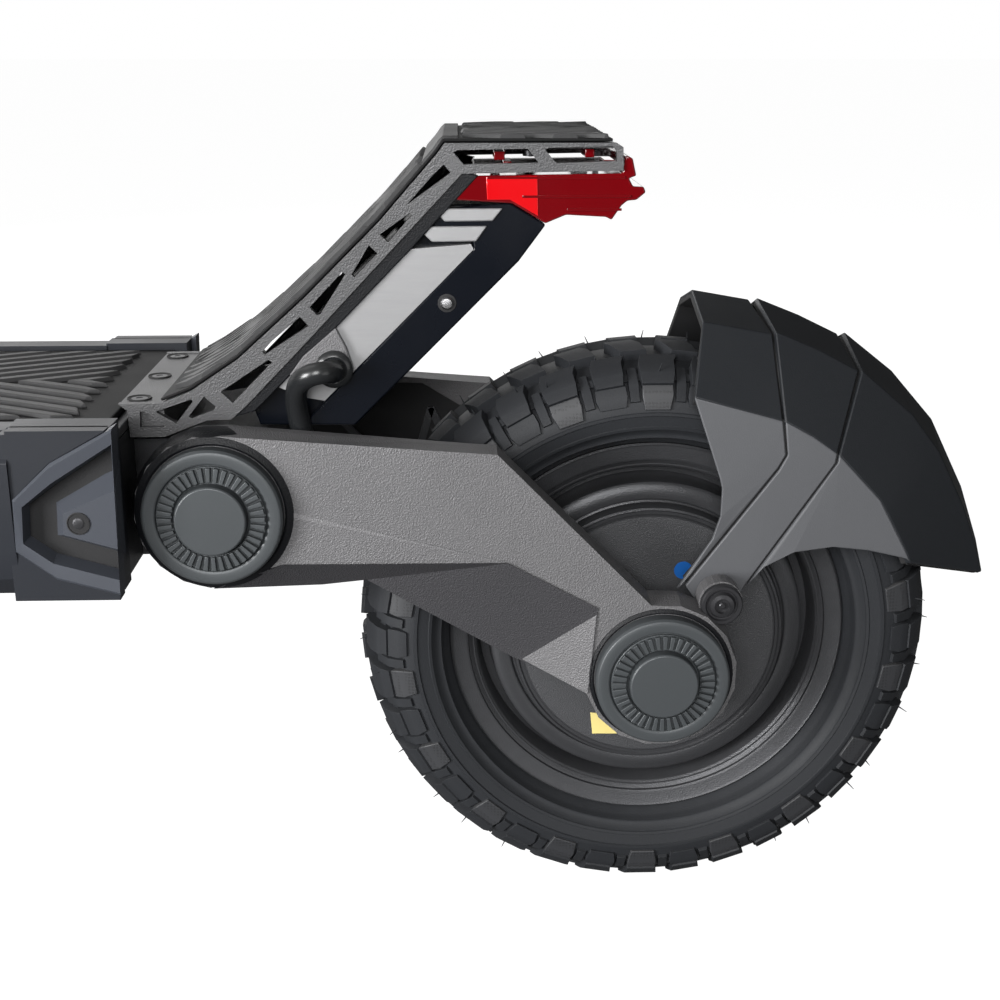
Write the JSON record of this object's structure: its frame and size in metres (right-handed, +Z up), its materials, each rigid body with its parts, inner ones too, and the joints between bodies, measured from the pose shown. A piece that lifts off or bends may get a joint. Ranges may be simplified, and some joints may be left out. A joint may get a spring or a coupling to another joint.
{
  "type": "electric kick scooter",
  "caption": "Electric kick scooter with sprung swing arms, knobbly tyres, folding stem, raised tail footrest and red tail light.",
  "frame": {"origin": "on the ground under the middle of the object's box", "axes": "+X forward, +Y to the rider's left, +Z up"},
  "size_m": [1.2966, 0.64, 1.2188],
  "materials": {
    "black": "semi-gloss",
    "cap": "satin",
    "cast": "textured satin",
    "copper": "varnished",
    "cover": "satin",
    "fender": "textured",
    "glass": "glossy",
    "lens": "clear red",
    "pack": "matt",
    "rubber": "matt",
    "silver": "brushed",
    "steel": "satin",
    "tyre": "matt"
  },
  "bodies": {
    "chassis": {"deck_frame": "cast", "deck_lid": "cast", "deck_mat": "rubber", "battery_pack": "pack", "controller": "silver", "side_cover_left": "cover", "side_cover_right": "cover", "tail_frame": "cast", "tail_mat": "rubber", "tail_housing": "black", "tail_panel_left": "silver", "tail_panel_right": "silver", "tail_lens": "lens", "cable_gland": "rubber", "motor_cable": "rubber", "gooseneck": "cast", "kickstand_bracket": "cast"},
    "kickstand": {"kickstand_leg": "steel"},
    "rear_arm": {"rear_arm_left": "cast", "rear_arm_right": "cast", "rear_pivot_shaft": "steel", "rear_axle": "steel", "rear_pivot_cap_left": "cap", "rear_pivot_cap_right": "cap", "rear_axle_cap_left": "cap", "rear_axle_cap_right": "cap", "rear_stator": "copper", "rear_fender": "fender", "rear_caliper": "cast"},
    "rear_wheel": {"rear_rim": "cast", "rear_hub_cover": "cast", "rear_tyre": "tyre", "rear_disc": "steel"},
    "steering": {"fork": "cast", "stem_base": "cast"},
    "front_arm": {"front_arm_left": "cast", "front_arm_right": "cast", "front_pivot_shaft": "steel", "front_axle": "steel", "front_pivot_cap_left": "cap", "front_pivot_cap_right": "cap", "front_axle_cap_left": "cap", "front_axle_cap_right": "cap", "front_fender": "fender", "front_caliper": "cast"},
    "front_wheel": {"front_rim": "cast", "front_tyre": "tyre", "front_disc": "steel"},
    "stem": {"stem_tube": "cast", "handlebar": "black", "grip_left": "rubber", "grip_right": "rubber", "display": "glass", "headlight": "silver"},
    "latch": {"fold_lever": "black"},
    "brake_left": {"brake_lever_left": "silver"},
    "brake_right": {"brake_lever_right": "silver"},
    "throttle": {"throttle": "black"},
    "button": {"power_button": "silver"}
  },
  "joints": [
    {"name": "rear_suspension", "type": "hinge", "parent": "chassis", "child": "rear_arm", "pos_m": [-0.29806, 0, 0.209], "axis": [0, 1, 0], "range_deg": [0, 12], "stiffness_Nm_per_rad": 400, "springref_deg": -11.46, "deforming": ["motor_cable"]},
    {"name": "rear_wheel_spin", "type": "hinge", "parent": "rear_arm", "child": "rear_wheel", "pos_m": [-0.48506, 0, 0.1334], "axis": [0, 1, 0], "continuous": true},
    {"name": "steer", "type": "hinge", "parent": "chassis", "child": "steering", "pos_m": [0.45185, 0, 0.36609], "axis": [-0.2588, 0, 0.9659], "range_deg": [-45, 45]},
    {"name": "front_suspension", "type": "hinge", "parent": "steering", "child": "front_arm", "pos_m": [0.32794, 0, 0.209], "axis": [0, -1, 0], "range_deg": [0, 12], "stiffness_Nm_per_rad": 400, "springref_deg": -11.46},
    {"name": "front_wheel_spin", "type": "hinge", "parent": "front_arm", "child": "front_wheel", "pos_m": [0.51494, 0, 0.1334], "axis": [0, 1, 0], "continuous": true},
    {"name": "stem_fold", "type": "hinge", "parent": "steering", "child": "stem", "pos_m": [0.37604, 0, 0.51763], "axis": [0, -1, 0], "range_deg": [0, 76]},
    {"name": "fold_latch", "type": "hinge", "parent": "stem", "child": "latch", "pos_m": [0.43028, 0, 0.54045], "axis": [0, 1, 0], "range_deg": [0, 60]},
    {"name": "kickstand_fold", "type": "hinge", "parent": "chassis", "child": "kickstand", "pos_m": [-0.09506, 0.06, 0.1624], "axis": [0.1469, 0.8509, 0.5044], "range_deg": [0, 89]},
    {"name": "brake_lever_left_pull", "type": "hinge", "parent": "stem", "child": "brake_left", "pos_m": [0.26349, 0.172, 1.18111], "axis": [-0.2588, 0, 0.9659], "range_deg": [0, 14], "stiffness_Nm_per_rad": 1.5, "springref_deg": -11.46},
    {"name": "brake_lever_right_pull", "type": "hinge", "parent": "stem", "child": "brake_right", "pos_m": [0.26349, -0.172, 1.18111], "axis": [0.2588, 0, -0.9659], "range_deg": [0, 14], "stiffness_Nm_per_rad": 1.5, "springref_deg": -11.46},
    {"name": "throttle_press", "type": "hinge", "parent": "stem", "child": "throttle", "pos_m": [0.23547, 0, 1.1736], "axis": [0, -1, 0], "range_deg": [0, 40], "stiffness_Nm_per_rad": 0.5, "springref_deg": -11.46},
    {"name": "power_button_press", "type": "slide", "parent": "stem", "child": "button", "axis": [0.2588, 0, -0.9659], "range_m": [0, 0.0016], "stiffness_N_per_m": 400, "springref_m": -0.001}
  ]
}
